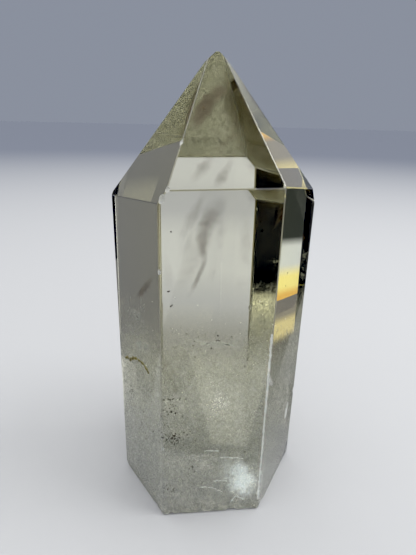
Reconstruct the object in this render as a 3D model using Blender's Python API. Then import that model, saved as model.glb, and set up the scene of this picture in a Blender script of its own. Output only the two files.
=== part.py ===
"""Smoky quartz tower: one polished, six-sided quartz point with a flat base.

The crystal stands on the origin with +Z up and its front face towards -Y. It is a block that is cut
back by six upright faces and six sloping point faces, as a stone cutter grinds it. Every sharp edge
is then ground to a narrow facet, and the chips of wear along the edges are scooped out.
"""

from dataclasses import dataclass
from math import cos, radians, sin, sqrt, tan

import bmesh
import bpy
from mathutils import Matrix, Vector

MM = 0.001

# Driving sizes, in millimetres
BLOCK_WIDTH = 90.0
BLOCK_HEIGHT = 140.0
BODY_EDGE_FACET = 0.55
BASE_EDGE_FACET = 0.7
POINT_EDGE_FACET = 0.45
TIP_EDGE_FACET = 0.15
FOOT_ZONE = 1.0
LONG_EDGE = 60.0
TIP_ZONE = 120.0

# How each chip is scooped: the ball's radius in chip depths, and its number of subdivisions
SCOOP_REACH = 3.0
SCOOP_DETAIL = 4

# Finish
QUARTZ_COLOUR = (0.60, 0.57, 0.47, 1.0)
QUARTZ_ROUGHNESS = 0.03
QUARTZ_IOR = 1.544

PART_NAME = "quartz_tower"
CUTTERS_NAME = "quartz_tower_cutters"


@dataclass(frozen=True)
class Side:
    """One upright face and the point face above it.

    Azimuths are in degrees from the front, -Y, towards +X. The point face passes through the middle
    of its upright face at the shoulder height, and its slope is measured from the horizontal.
    """

    azimuth: float
    distance: float
    point_azimuth: float
    point_slope: float
    shoulder: float


FRONT = Side(azimuth=0.0, distance=22.55, point_azimuth=-0.9, point_slope=59.3, shoulder=92.1)
RIGHT = Side(azimuth=56.1, distance=22.8, point_azimuth=61.4, point_slope=55.4, shoulder=91.1)
BACK_RIGHT = Side(azimuth=122.7, distance=22.45, point_azimuth=123.1, point_slope=53.7, shoulder=85.2)
BACK = Side(azimuth=183.3, distance=21.8, point_azimuth=183.2, point_slope=49.4, shoulder=88.2)
BACK_LEFT = Side(azimuth=242.4, distance=22.95, point_azimuth=244.3, point_slope=53.1, shoulder=88.9)
LEFT = Side(azimuth=300.3, distance=24.4, point_azimuth=298.0, point_slope=59.3, shoulder=88.2)
SIDES = (FRONT, RIGHT, BACK_RIGHT, BACK, BACK_LEFT, LEFT)


@dataclass(frozen=True)
class TipFacet:
    """A small facet that blunts the tip: a point of it, and where it faces."""

    place: tuple
    azimuth: float
    lift: float


TIP_FACETS = (
    TipFacet((-1.75, -5.8, 120.15), azimuth=-90.0, lift=48.0),
    TipFacet((-0.85, -5.8, 120.15), azimuth=90.0, lift=45.0),
)


@dataclass(frozen=True)
class Chip:
    """A shell-shaped scoop out of an edge.

    place is the middle of the scoop on the edge, and the scoop opens towards azimuth and lift.
    It is length long, width wide and depth deep, and its long side is turned by roll about the
    direction in which it opens.
    """

    name: str
    place: tuple
    azimuth: float
    lift: float
    length: float
    width: float
    depth: float
    roll: float = 0.0


# Upright edges that carry chips, as X and Y
FRONT_LEFT_EDGE = (-15.05, -22.55)
FRONT_RIGHT_EDGE = (12.3, -22.55)
RIGHT_EDGE = (27.0, -0.65)
BACK_RIGHT_EDGE = (12.15, 22.5)
LEFT_EDGE = (-27.0, -2.1)

CHIPS = (
    Chip("shoulder_chip_low", (-14.4, -22.6, 90.1), -25.0, 22.0, length=2.0, width=3.4, depth=0.7, roll=30.0),
    Chip("shoulder_chip_high", (-13.1, -22.5, 92.0), -15.0, 30.0, length=1.6, width=1.9, depth=0.45),
    Chip("point_edge_chip", (-10.0, -17.0, 101.3), -32.0, 32.0, length=1.5, width=1.9, depth=0.4),
    Chip("front_left_nick", (*FRONT_LEFT_EDGE, 73.8), -30.0, 0.0, length=1.3, width=1.6, depth=0.35),
    Chip("front_left_low_nick", (*FRONT_LEFT_EDGE, 24.0), -30.0, 0.0, length=1.0, width=1.8, depth=0.25),
    Chip("front_right_foot_chip", (13.5, -20.8, 0.0), 50.0, -35.0, length=5.2, width=3.4, depth=1.0),
    Chip("front_right_nick", (*FRONT_RIGHT_EDGE, 44.0), 28.0, 0.0, length=1.0, width=2.4, depth=0.25),
    Chip("right_face_shell", (23.6, -5.8, 21.0), 56.0, 0.0, length=2.8, width=5.6, depth=0.5, roll=-12.0),
    Chip("right_edge_nick", (*RIGHT_EDGE, 25.2), 74.0, 0.0, length=3.0, width=2.2, depth=0.6),
    Chip("right_edge_glint", (*RIGHT_EDGE, 38.0), 84.0, 0.0, length=1.1, width=1.7, depth=0.3),
    Chip("right_shoulder_nick", (26.0, -2.1, 88.3), 70.0, 25.0, length=1.2, width=1.6, depth=0.3),
    Chip("left_foot_chip", (*LEFT_EDGE, 0.0), -92.0, -40.0, length=3.0, width=3.2, depth=1.1),
    Chip("front_left_foot_chip", (-17.2, -19.0, 0.0), -58.0, -32.0, length=2.6, width=2.6, depth=0.8),
    Chip("front_foot_chip_a", (-12.9, -22.55, 0.0), -3.0, -40.0, length=2.8, width=2.4, depth=0.75),
    Chip("front_foot_chip_b", (-10.4, -22.55, 0.0), 4.0, -42.0, length=3.2, width=2.0, depth=0.6),
    Chip("front_foot_chip_c", (4.6, -22.55, 0.0), -4.0, -34.0, length=4.2, width=3.2, depth=0.9),
    Chip("front_foot_chip_d", (8.2, -22.55, 0.0), 5.0, -40.0, length=3.0, width=2.2, depth=0.6),
    Chip("right_foot_chip", (21.4, -9.0, 0.0), 58.0, -40.0, length=3.2, width=2.2, depth=0.6),
    Chip("back_foot_chip", (-3.5, 21.6, 0.0), 183.0, -40.0, length=3.4, width=2.2, depth=0.6),
    Chip("back_left_foot_chip", (-21.5, 8.9, 0.0), 242.0, -38.0, length=2.6, width=2.2, depth=0.55),
    Chip("back_edge_nick", (*BACK_RIGHT_EDGE, 52.0), 153.0, 0.0, length=1.1, width=2.4, depth=0.3),
)


def outward(azimuth, lift=0.0):
    """Unit vector at an azimuth from the front, -Y, towards +X, raised by lift degrees."""
    turn = radians(azimuth)
    rise = radians(lift)
    return Vector((sin(turn) * cos(rise), -cos(turn) * cos(rise), sin(rise)))


def remove_all():
    """Empties the file of objects, so that the script can be run again."""
    for item in list(bpy.data.objects):
        bpy.data.objects.remove(item, do_unlink=True)


def new_collection(name):
    """Makes a collection under the scene's own."""
    collection = bpy.data.collections.new(name)
    bpy.context.scene.collection.children.link(collection)
    return collection


def cut_off(shape, place, normal):
    """Cuts away what lies beyond a plane and closes the cut with one flat face."""
    everything = shape.verts[:] + shape.edges[:] + shape.faces[:]
    cut = bmesh.ops.bisect_plane(
        shape,
        geom=everything,
        dist=0.002 * MM,
        plane_co=place,
        plane_no=normal,
        clear_outer=True,
    )
    rim = [item for item in cut["geom_cut"] if isinstance(item, bmesh.types.BMEdge)]
    open_rim = [edge for edge in rim if edge.is_boundary]
    if open_rim:
        bmesh.ops.contextual_create(shape, geom=open_rim)


def cut_block():
    """Starts from a block and cuts the six upright faces and the six point faces."""
    shape = bmesh.new()
    centre = Matrix.Translation((0.0, 0.0, BLOCK_HEIGHT / 2 * MM))
    size = Matrix.Diagonal((BLOCK_WIDTH * MM, BLOCK_WIDTH * MM, BLOCK_HEIGHT * MM, 1.0))
    bmesh.ops.create_cube(shape, size=1.0, matrix=centre @ size)
    for side in SIDES:
        face_middle = outward(side.azimuth) * side.distance * MM
        cut_off(shape, face_middle, outward(side.azimuth))
        shoulder_point = face_middle + Vector((0.0, 0.0, side.shoulder * MM))
        cut_off(shape, shoulder_point, outward(side.point_azimuth, 90.0 - side.point_slope))
    return shape


def facet_width(edge):
    """Width of the narrow facet that is ground along an edge, by where the edge lies."""
    heights = [corner.co.z / MM for corner in edge.verts]
    if max(heights) < FOOT_ZONE:
        return BASE_EDGE_FACET
    if max(heights) - min(heights) > LONG_EDGE:
        return BODY_EDGE_FACET
    if min(heights) > TIP_ZONE:
        return TIP_EDGE_FACET
    return POINT_EDGE_FACET


def grind_edges(shape):
    """Grinds every edge of the sharp crystal to a narrow facet, square to the two faces it joins."""
    facets = []
    for edge in shape.edges:
        one, other = (face.normal.copy() for face in edge.link_faces)
        half_angle = (radians(180.0) - one.angle(other)) / 2
        depth = facet_width(edge) * MM / (2 * tan(half_angle))
        normal = (one + other).normalized()
        facets.append((edge.verts[0].co - normal * depth, normal))
    for place, normal in facets:
        cut_off(shape, place, normal)


def blunt_tip(shape):
    """Takes the two ends off the short ridge at the top."""
    for facet in TIP_FACETS:
        cut_off(shape, Vector(facet.place) * MM, outward(facet.azimuth, facet.lift))


def crystal_object(material, collection):
    """The crystal as one object, before its chips."""
    shape = cut_block()
    shape.normal_update()
    grind_edges(shape)
    blunt_tip(shape)
    bmesh.ops.recalc_face_normals(shape, faces=shape.faces[:])
    mesh = bpy.data.meshes.new(PART_NAME)
    shape.to_mesh(mesh)
    shape.free()
    mesh.materials.append(material)
    crystal = bpy.data.objects.new(PART_NAME, mesh)
    collection.objects.link(crystal)
    return crystal


def scoop_object(chip, collection):
    """The rounded lens that scoops one chip: a ball flattened to the chip's length, width and depth."""
    opening = outward(chip.azimuth, chip.lift)
    across = Vector((0.0, 0.0, 1.0)).cross(opening).normalized()
    up = opening.cross(across)
    axes = Matrix((across, up, opening)).transposed()
    turned = axes @ Matrix.Rotation(radians(chip.roll), 3, "Z")
    reach = SCOOP_REACH * chip.depth
    mouth = sqrt(1.0 - ((reach - chip.depth) / reach) ** 2)
    radii = Vector((chip.length / 2 / mouth, chip.width / 2 / mouth, reach))
    middle = Vector(chip.place) + opening * (reach - chip.depth)

    ball = bmesh.new()
    bmesh.ops.create_icosphere(ball, subdivisions=SCOOP_DETAIL, radius=1.0)
    place = Matrix.Translation(middle * MM) @ turned.to_4x4() @ Matrix.Diagonal((*(radii * MM), 1.0))
    bmesh.ops.transform(ball, matrix=place, verts=ball.verts[:])
    mesh = bpy.data.meshes.new(chip.name)
    ball.to_mesh(mesh)
    ball.free()
    scoop = bpy.data.objects.new(chip.name, mesh)
    scoop.hide_render = True
    scoop.display_type = "WIRE"
    collection.objects.link(scoop)
    return scoop


def chip_away(crystal, collection):
    """Takes every chip out of the crystal with a Boolean modifier of its own."""
    for chip in CHIPS:
        cut = crystal.modifiers.new(chip.name, "BOOLEAN")
        cut.operation = "DIFFERENCE"
        cut.solver = "EXACT"
        cut.object = scoop_object(chip, collection)


def quartz_material():
    """Pale smoky quartz: clear, a little olive, polished."""
    material = bpy.data.materials.new("smoky_quartz")
    material.use_nodes = True
    material.diffuse_color = QUARTZ_COLOUR
    shader = material.node_tree.nodes["Principled BSDF"]
    shader.inputs["Base Color"].default_value = QUARTZ_COLOUR
    shader.inputs["Roughness"].default_value = QUARTZ_ROUGHNESS
    shader.inputs["Metallic"].default_value = 0.0
    shader.inputs["IOR"].default_value = QUARTZ_IOR
    shader.inputs["Transmission Weight"].default_value = 1.0
    return material


def build():
    """Builds the tower."""
    remove_all()
    parts = new_collection(PART_NAME)
    cutters = new_collection(CUTTERS_NAME)
    crystal = crystal_object(quartz_material(), parts)
    chip_away(crystal, cutters)


build()
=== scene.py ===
"""Smoky quartz tower: a polished quartz point with a milky foot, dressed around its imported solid."""

import logging
from dataclasses import dataclass
from enum import Enum
from math import cos, radians, sin, sqrt, tan
from typing import Any

import bmesh
import bpy
import numpy as np
from mathutils import Matrix, Vector, noise


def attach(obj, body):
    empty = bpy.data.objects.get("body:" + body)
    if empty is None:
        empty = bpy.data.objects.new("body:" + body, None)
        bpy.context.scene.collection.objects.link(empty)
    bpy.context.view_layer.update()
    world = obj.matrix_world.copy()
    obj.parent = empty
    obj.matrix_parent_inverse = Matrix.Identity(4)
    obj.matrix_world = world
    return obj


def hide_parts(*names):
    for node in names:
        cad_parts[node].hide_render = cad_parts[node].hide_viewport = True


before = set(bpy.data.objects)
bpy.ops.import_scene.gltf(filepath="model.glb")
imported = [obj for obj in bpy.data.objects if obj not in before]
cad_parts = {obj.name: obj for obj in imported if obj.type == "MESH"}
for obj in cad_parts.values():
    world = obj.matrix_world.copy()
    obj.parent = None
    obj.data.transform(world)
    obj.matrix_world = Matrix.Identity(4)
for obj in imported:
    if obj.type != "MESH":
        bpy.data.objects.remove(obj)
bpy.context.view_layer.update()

MM = 0.001
NODE = "quartz_tower"
BODY = "root"
LOG = logging.getLogger("quartz_tower")
UPWARD = Vector((0.0, 0.0, 1.0))

Place = tuple[float, float, float]
Colour = tuple[float, float, float]


def outward(azimuth: float, lift: float = 0.0) -> Vector:
    """Unit vector at an azimuth from the front, -Y, towards +X, raised by lift degrees.

    Args:
        azimuth: Degrees from -Y towards +X.
        lift: Degrees above the horizontal.

    Returns:
        The unit vector.
    """
    turn = radians(azimuth)
    rise = radians(lift)
    return Vector((sin(turn) * cos(rise), -cos(turn) * cos(rise), sin(rise)))


def across(azimuth: float) -> Vector:
    """Level unit vector to the right of someone who looks at a face of this azimuth from outside."""
    return Vector((cos(radians(azimuth)), sin(radians(azimuth)), 0.0))


def smooth(value: np.ndarray, low: float, high: float) -> np.ndarray:
    """Rises smoothly from 0 at low to 1 at high; low may be the larger.

    Args:
        value: What is read.
        low: Where the rise starts.
        high: Where it ends.

    Returns:
        Values from 0 to 1.
    """
    t = np.clip((value - low) / (high - low), 0.0, 1.0)
    return t * t * (3.0 - 2.0 * t)


class Bench:
    """The modelling operators, used the way a hand uses them: pick one object, then work on it."""

    @staticmethod
    def pick(item: bpy.types.Object) -> None:
        """Deselects everything and makes one object the active one.

        Args:
            item: The object.
        """
        for other in bpy.context.selected_objects:
            other.select_set(False)
        item.select_set(True)
        bpy.context.view_layer.objects.active = item

    @staticmethod
    def clear() -> None:
        """Deselects every object."""
        for other in bpy.context.selected_objects:
            other.select_set(False)

    @staticmethod
    def finish_primitive(name: str) -> bpy.types.Object:
        """Names the primitive that was just added and puts its place into its mesh.

        Args:
            name: The object's name.

        Returns:
            The object, at the origin.
        """
        item = bpy.context.object
        item.name = name
        item.data.name = name
        bpy.ops.object.transform_apply(location=True, rotation=True, scale=True)
        return item

    @staticmethod
    def cut_off(place: Vector, normal: Vector, fill: bool = True) -> None:
        """Cuts away what lies beyond a plane, in edit mode.

        Args:
            place: A point of the plane, in metres.
            normal: The side that is cut away.
            fill: Whether the cut is closed with a flat face.
        """
        bpy.ops.mesh.select_all(action="SELECT")
        bpy.ops.mesh.bisect(
            plane_co=place, plane_no=normal, use_fill=fill, clear_outer=True, threshold=1e-6
        )

    @staticmethod
    def read_points(item: bpy.types.Object) -> np.ndarray:
        """Reads the points of an object's mesh.

        Args:
            item: The object.

        Returns:
            Rows of X, Y and Z, in metres.
        """
        points = np.empty(len(item.data.vertices) * 3)
        item.data.vertices.foreach_get("co", points)
        return points.reshape(-1, 3)

    @staticmethod
    def write_points(item: bpy.types.Object, points: np.ndarray) -> None:
        """Moves the object's mesh points to the given rows of X, Y and Z, in metres."""
        item.data.vertices.foreach_set("co", points.ravel())
        item.data.update()

    @staticmethod
    def apply(item: bpy.types.Object, modifier: bpy.types.Modifier) -> None:
        """Applies a modifier to its object."""
        Bench.pick(item)
        bpy.ops.object.modifier_apply(modifier=modifier.name)


@dataclass(frozen=True)
class Plane:
    """A flat face by one of its points and its outward normal, in millimetres."""

    place: Vector
    normal: Vector


@dataclass(frozen=True)
class Side:
    """One upright face and the point face above it, as in the solid."""

    azimuth: float
    distance: float
    point_azimuth: float
    point_slope: float
    shoulder: float

    def planes(self) -> list[Plane]:
        """The two faces as planes.

        Returns:
            The upright face and the point face.
        """
        middle = outward(self.azimuth) * self.distance
        shoulder_point = middle + UPWARD * self.shoulder
        slant = outward(self.point_azimuth, 90.0 - self.point_slope)
        return [Plane(middle, outward(self.azimuth)), Plane(shoulder_point, slant)]


FRONT = Side(azimuth=0.0, distance=22.55, point_azimuth=-0.9, point_slope=59.3, shoulder=92.1)
RIGHT = Side(azimuth=56.1, distance=22.8, point_azimuth=61.4, point_slope=55.4, shoulder=91.1)
BACK_RIGHT = Side(azimuth=122.7, distance=22.45, point_azimuth=123.1, point_slope=53.7, shoulder=85.2)
BACK = Side(azimuth=183.3, distance=21.8, point_azimuth=183.2, point_slope=49.4, shoulder=88.2)
BACK_LEFT = Side(azimuth=242.4, distance=22.95, point_azimuth=244.3, point_slope=53.1, shoulder=88.9)
LEFT = Side(azimuth=300.3, distance=24.4, point_azimuth=298.0, point_slope=59.3, shoulder=88.2)
SIDES = (FRONT, RIGHT, BACK_RIGHT, BACK, BACK_LEFT, LEFT)


@dataclass(frozen=True)
class TipFacet:
    """A small facet that blunts the tip: a point of it, and where it faces."""

    place: Place
    azimuth: float
    lift: float


TIP_FACETS = (
    TipFacet((-1.75, -5.8, 120.15), azimuth=-90.0, lift=48.0),
    TipFacet((-0.85, -5.8, 120.15), azimuth=90.0, lift=45.0),
)


@dataclass(frozen=True)
class Chip:
    """A shell-shaped scoop out of an edge, as in the solid."""

    name: str
    place: Place
    azimuth: float
    lift: float
    length: float
    width: float
    depth: float
    roll: float = 0.0


# Upright edges that carry chips, as X and Y
FRONT_LEFT_EDGE = (-15.05, -22.55)
FRONT_RIGHT_EDGE = (12.3, -22.55)
RIGHT_EDGE = (27.0, -0.65)
BACK_RIGHT_EDGE = (12.15, 22.5)
LEFT_EDGE = (-27.0, -2.1)

CHIPS = (
    Chip("shoulder_chip_low", (-14.4, -22.6, 90.1), -25.0, 22.0, length=2.0, width=3.4, depth=0.7,
         roll=30.0),
    Chip("shoulder_chip_high", (-13.1, -22.5, 92.0), -15.0, 30.0, length=1.6, width=1.9, depth=0.45),
    Chip("point_edge_chip", (-10.0, -17.0, 101.3), -32.0, 32.0, length=1.5, width=1.9, depth=0.4),
    Chip("front_left_nick", (*FRONT_LEFT_EDGE, 73.8), -30.0, 0.0, length=1.3, width=1.6, depth=0.35),
    Chip("front_left_low_nick", (*FRONT_LEFT_EDGE, 24.0), -30.0, 0.0, length=1.0, width=1.8, depth=0.25),
    Chip("front_right_foot_chip", (13.5, -20.8, 0.0), 50.0, -35.0, length=5.2, width=3.4, depth=1.0),
    Chip("front_right_nick", (*FRONT_RIGHT_EDGE, 44.0), 28.0, 0.0, length=1.0, width=2.4, depth=0.25),
    Chip("right_face_shell", (23.6, -5.8, 21.0), 56.0, 0.0, length=2.8, width=5.6, depth=0.5, roll=-12.0),
    Chip("right_edge_nick", (*RIGHT_EDGE, 25.2), 74.0, 0.0, length=3.0, width=2.2, depth=0.6),
    Chip("right_edge_glint", (*RIGHT_EDGE, 38.0), 84.0, 0.0, length=1.1, width=1.7, depth=0.3),
    Chip("right_shoulder_nick", (26.0, -2.1, 88.3), 70.0, 25.0, length=1.2, width=1.6, depth=0.3),
    Chip("left_foot_chip", (*LEFT_EDGE, 0.0), -92.0, -40.0, length=3.0, width=3.2, depth=1.1),
    Chip("front_left_foot_chip", (-17.2, -19.0, 0.0), -58.0, -32.0, length=2.6, width=2.6, depth=0.8),
    Chip("front_foot_chip_a", (-12.9, -22.55, 0.0), -3.0, -40.0, length=2.8, width=2.4, depth=0.75),
    Chip("front_foot_chip_b", (-10.4, -22.55, 0.0), 4.0, -42.0, length=3.2, width=2.0, depth=0.6),
    Chip("front_foot_chip_c", (4.6, -22.55, 0.0), -4.0, -34.0, length=4.2, width=3.2, depth=0.9),
    Chip("front_foot_chip_d", (8.2, -22.55, 0.0), 5.0, -40.0, length=3.0, width=2.2, depth=0.6),
    Chip("right_foot_chip", (21.4, -9.0, 0.0), 58.0, -40.0, length=3.2, width=2.2, depth=0.6),
    Chip("back_foot_chip", (-3.5, 21.6, 0.0), 183.0, -40.0, length=3.4, width=2.2, depth=0.6),
    Chip("back_left_foot_chip", (-21.5, 8.9, 0.0), 242.0, -38.0, length=2.6, width=2.2, depth=0.55),
    Chip("back_edge_nick", (*BACK_RIGHT_EDGE, 52.0), 153.0, 0.0, length=1.1, width=2.4, depth=0.3),
)


class CrystalSpace:
    """The room inside the crystal: tells how deep a point lies under the nearest face."""

    def __init__(self, sides: tuple[Side, ...]) -> None:
        """Reads the faces of the crystal.

        Args:
            sides: The crystal's six sides.
        """
        planes = [plane for side in sides for plane in side.planes()]
        planes.append(Plane(Vector((0.0, 0.0, 0.0)), -UPWARD))
        self.normals = np.array([plane.normal for plane in planes])
        self.offsets = np.array([plane.place.dot(plane.normal) for plane in planes])

    def depth(self, points: np.ndarray) -> np.ndarray:
        """Distance of each point under the nearest face, in millimetres; outside it is negative."""
        return (self.offsets - points @ self.normals.T).min(axis=1)

    def pull_inside(self, points: np.ndarray, skin: float) -> np.ndarray:
        """Moves points that lie too near a face straight back under it.

        Args:
            points: Rows of X, Y and Z in millimetres.
            skin: Least depth under the faces.

        Returns:
            The moved points.
        """
        moved = points.copy()
        for normal, offset in zip(self.normals, self.offsets):
            excess = np.maximum(moved @ normal - (offset - skin), 0.0)
            moved -= excess[:, None] * normal
        return moved


class Board:
    """The nodes of a material or a node group, laid out and linked as on a board."""

    def __init__(self, tree: bpy.types.NodeTree) -> None:
        """Takes the tree that the nodes go into."""
        self.nodes = tree.nodes
        self.links = tree.links

    @classmethod
    def material(cls, name: str) -> tuple[bpy.types.Material, "Board", bpy.types.Node]:
        """Starts a material.

        Args:
            name: Its name.

        Returns:
            The material, its board and its shader.
        """
        material = bpy.data.materials.new(name)
        material.use_nodes = True
        return material, cls(material.node_tree), material.node_tree.nodes["Principled BSDF"]

    @classmethod
    def matt_paint(cls, name: str) -> tuple[bpy.types.Material, "Board", bpy.types.Node]:
        """Starts a studio paint with no gloss at all.

        Args:
            name: Its name.

        Returns:
            The material, its board and its shader.
        """
        material, board, shader = cls.material(name)
        cls.set(shader, {"Roughness": 1.0, "Specular IOR Level": 0.0})
        return material, board, shader

    @staticmethod
    def set(node: bpy.types.Node, values: dict[str | int, Any]) -> None:
        """Sets inputs of a node by their names or numbers."""
        for socket, value in values.items():
            node.inputs[socket].default_value = value

    def lay(self, kind: str, values: dict[str | int, Any] | None = None) -> bpy.types.Node:
        """Lays one node on the board.

        Args:
            kind: Its type.
            values: What its inputs are set to, by their names or numbers.

        Returns:
            The node.
        """
        node = self.nodes.new(kind)
        self.set(node, values or {})
        return node

    def lay_sum(self, operation: str, values: dict[str | int, Any] | None = None) -> bpy.types.Node:
        """Lays a Math node.

        Args:
            operation: What it works out.
            values: What its inputs are set to, by their numbers.

        Returns:
            The node.
        """
        node = self.lay("ShaderNodeMath", values)
        node.operation = operation
        return node

    def lay_colour_mix(self, one: Colour, other: Colour) -> bpy.types.Node:
        """Lays a mix of two colours, with its share at input 0 and its colour at output 2.

        Args:
            one: The colour at a share of 0.
            other: The colour at a share of 1.

        Returns:
            The node.
        """
        node = self.lay("ShaderNodeMix", {6: (*one, 1.0), 7: (*other, 1.0)})
        node.data_type = "RGBA"
        return node

    def join(
        self, source: bpy.types.Node, output: str | int, target: bpy.types.Node, socket: str | int
    ) -> None:
        """Links an output of one node to an input of another."""
        self.links.new(source.outputs[output], target.inputs[socket])


class Groups:
    """The shader node groups that several finishes share, each built once."""

    made: dict[str, bpy.types.NodeTree] = {}
    grain_detail: float = 3.0
    patch_detail: float = 4.0
    patch_warp: float = 0.6
    grain_share: float = 0.45

    @classmethod
    def speckle(cls) -> bpy.types.NodeTree:
        """Fine speckle gathered in patches, as healed cracks and clouds in quartz have.

        Returns:
            A group with Vector, Grain, Patch, Cover and Edge inputs, and Mask and Tone outputs.
        """
        if "speckle" in cls.made:
            return cls.made["speckle"]
        tree = bpy.data.node_groups.new("inclusion_speckle", "ShaderNodeTree")
        tree.interface.new_socket("Vector", in_out="INPUT", socket_type="NodeSocketVector")
        for name, value in (("Grain", 900.0), ("Patch", 120.0), ("Cover", 0.5), ("Edge", 0.1)):
            socket = tree.interface.new_socket(name, in_out="INPUT", socket_type="NodeSocketFloat")
            socket.default_value = value
        for name in ("Mask", "Tone"):
            tree.interface.new_socket(name, in_out="OUTPUT", socket_type="NodeSocketFloat")
        board = Board(tree)
        start = board.lay("NodeGroupInput")
        end = board.lay("NodeGroupOutput")
        grain = board.lay("ShaderNodeTexNoise", {"Detail": cls.grain_detail})
        patch = board.lay("ShaderNodeTexNoise", {"Detail": cls.patch_detail, "Distortion": cls.patch_warp})
        for name, pattern in (("Grain", grain), ("Patch", patch)):
            board.join(start, "Vector", pattern, "Vector")
            board.join(start, name, pattern, "Scale")
        blend = board.lay("ShaderNodeMix", {0: cls.grain_share})
        board.join(patch, "Fac", blend, 2)
        board.join(grain, "Fac", blend, 3)
        low = board.lay_sum("SUBTRACT", {0: 1.0})
        board.join(start, "Cover", low, 1)
        high = board.lay_sum("ADD")
        board.join(low, 0, high, 0)
        board.join(start, "Edge", high, 1)
        spread = board.lay("ShaderNodeMapRange")
        spread.interpolation_type = "SMOOTHSTEP"
        board.join(blend, 0, spread, "Value")
        board.join(low, 0, spread, "From Min")
        board.join(high, 0, spread, "From Max")
        board.join(spread, "Result", end, "Mask")
        board.join(patch, "Fac", end, "Tone")
        cls.made["speckle"] = tree
        return tree

    @classmethod
    def lay_speckle(
        cls, board: Board, grain: float, patch: float, cover: float, edge: float
    ) -> bpy.types.Node:
        """Lays the speckle on a material's board, fixed to the piece.

        Args:
            board: The material's board.
            grain: Scale of the grain.
            patch: Scale of the patches.
            cover: Share that the mask covers.
            edge: Softness of the mask's edge.

        Returns:
            The node, with Mask and Tone outputs.
        """
        place = board.lay("ShaderNodeTexCoord")
        speckle = board.lay("ShaderNodeGroup")
        speckle.node_tree = cls.speckle()
        board.set(speckle, {"Grain": grain, "Patch": patch, "Cover": cover, "Edge": edge})
        board.join(place, "Object", speckle, "Vector")
        return speckle


@dataclass(frozen=True)
class QuartzFinish:
    """Clear quartz: see-through by plain transmission, IOR and absorption values."""

    name: str
    tint: Colour = (1.0, 1.0, 1.0)
    smoke: Colour = (0.80, 0.755, 0.26)
    smoke_density: float = 6.0
    ior: float = 1.547
    polish: float = 0.0
    smudge: float = 0.03
    smudge_scale: float = 90.0
    smudge_grain: float = 8.0
    smudge_cover: float = 0.5
    smudge_edge: float = 0.2
    clearness: float = 1.0

    def material(self) -> bpy.types.Material:
        """Builds the finish.

        Returns:
            The material.
        """
        material, board, shader = Board.material(self.name)
        board.set(shader, {"Base Color": (*self.tint, 1.0), "Metallic": 0.0, "IOR": self.ior})
        board.set(shader, {"Transmission Weight": self.clearness})
        grain = self.smudge_scale * self.smudge_grain
        smudges = Groups.lay_speckle(board, grain, self.smudge_scale, self.smudge_cover, self.smudge_edge)
        rough = board.lay("ShaderNodeMapRange", {"To Min": self.polish, "To Max": self.polish + self.smudge})
        board.join(smudges, "Mask", rough, "Value")
        board.join(rough, "Result", shader, "Roughness")
        smoke = board.lay("ShaderNodeVolumeAbsorption", {"Color": (*self.smoke, 1.0)})
        board.set(smoke, {"Density": self.smoke_density})
        board.join(smoke, "Volume", board.nodes["Material Output"], "Volume")
        return material


class Make(Enum):
    """What an inclusion is made like, which says where it lets light through."""

    SOLID = "solid all over"
    SPECKLED = "a speckled veil"
    FADING = "a speckled veil that fades with the point attribute named fade"


@dataclass(frozen=True)
class InclusionFinish:
    """An inclusion seen through the quartz, with a patchy tone and, on a veil, speckled cover; many also get
    a painted glow, emission that paints light on them.
    """

    name: str
    colour: Colour
    other_colour: Colour
    make: Make = Make.SOLID
    rough: float = 0.6
    gloss: float = 0.2
    patch_scale: float = 120.0
    grain_scale: float = 900.0
    tone_range: tuple[float, float] = (0.3, 0.7)
    cover: float = 0.5
    edge: float = 0.12
    strength: float = 1.0
    # painted glow: emission strength that paints light on the inclusion, though it is no lamp
    painted_glow: float = 0.0

    def material(self) -> bpy.types.Material:
        """Builds the finish.

        Returns:
            The material.
        """
        material, board, shader = Board.material(self.name)
        board.set(shader, {"Roughness": self.rough, "Specular IOR Level": self.gloss})
        board.set(shader, {"Emission Strength": self.painted_glow})
        speckle = Groups.lay_speckle(board, self.grain_scale, self.patch_scale, self.cover, self.edge)
        low, high = self.tone_range
        tone = board.lay("ShaderNodeMapRange", {"From Min": low, "From Max": high})
        board.join(speckle, "Tone", tone, "Value")
        colours = board.lay_colour_mix(self.colour, self.other_colour)
        board.join(tone, "Result", colours, 0)
        board.join(colours, 2, shader, "Base Color")
        # the painted glow shines in the inclusion's own colour
        board.join(colours, 2, shader, "Emission Color")
        if self.make is not Make.SOLID:
            cover = board.lay_sum("MULTIPLY", {1: self.strength})
            board.join(speckle, "Mask", cover, 0)
            if self.make is Make.FADING:
                cover = self.fade(board, cover)
            board.join(cover, 0, shader, "Alpha")
        return material

    def fade(self, board: Board, cover: bpy.types.Node) -> bpy.types.Node:
        """Lets the cover fade with the sheet's own point attribute.

        Args:
            board: The material's board.
            cover: The node of the plain cover.

        Returns:
            The node of the fading cover.
        """
        fade = board.lay("ShaderNodeAttribute")
        fade.attribute_name = "fade"
        product = board.lay_sum("MULTIPLY")
        board.join(cover, 0, product, 0)
        board.join(fade, "Fac", product, 1)
        return product


POLISHED = QuartzFinish("polished_quartz")
GROUND = QuartzFinish(
    "ground_quartz_edge", tint=(0.95, 0.96, 0.96), polish=0.05, smudge=0.22, clearness=0.9,
    smudge_scale=500.0,
)
FRACTURED = QuartzFinish(
    "fresh_quartz_fracture", tint=(0.93, 0.94, 0.92), polish=0.16, smudge=0.22, clearness=0.5,
    smudge_scale=400.0,
)
# The milk and haze colours are their own; their glow is painted light that brightens them as if sunlit.
MILK = InclusionFinish(
    "milky_fleck", colour=(0.98, 0.99, 0.96), other_colour=(0.93, 0.95, 0.87), painted_glow=0.022
)
HAZE = InclusionFinish(
    "milky_haze", colour=(0.98, 0.99, 0.97), other_colour=(0.94, 0.955, 0.90), make=Make.SPECKLED,
    patch_scale=150.0, grain_scale=600.0, cover=0.75, edge=0.5, strength=0.17, painted_glow=0.022,
)
SMOKE = InclusionFinish(
    "smoky_wisp", colour=(0.20, 0.14, 0.08), other_colour=(0.29, 0.225, 0.15), make=Make.FADING,
    patch_scale=200.0, grain_scale=400.0, cover=0.9, edge=0.9, strength=0.62,
)
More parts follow.
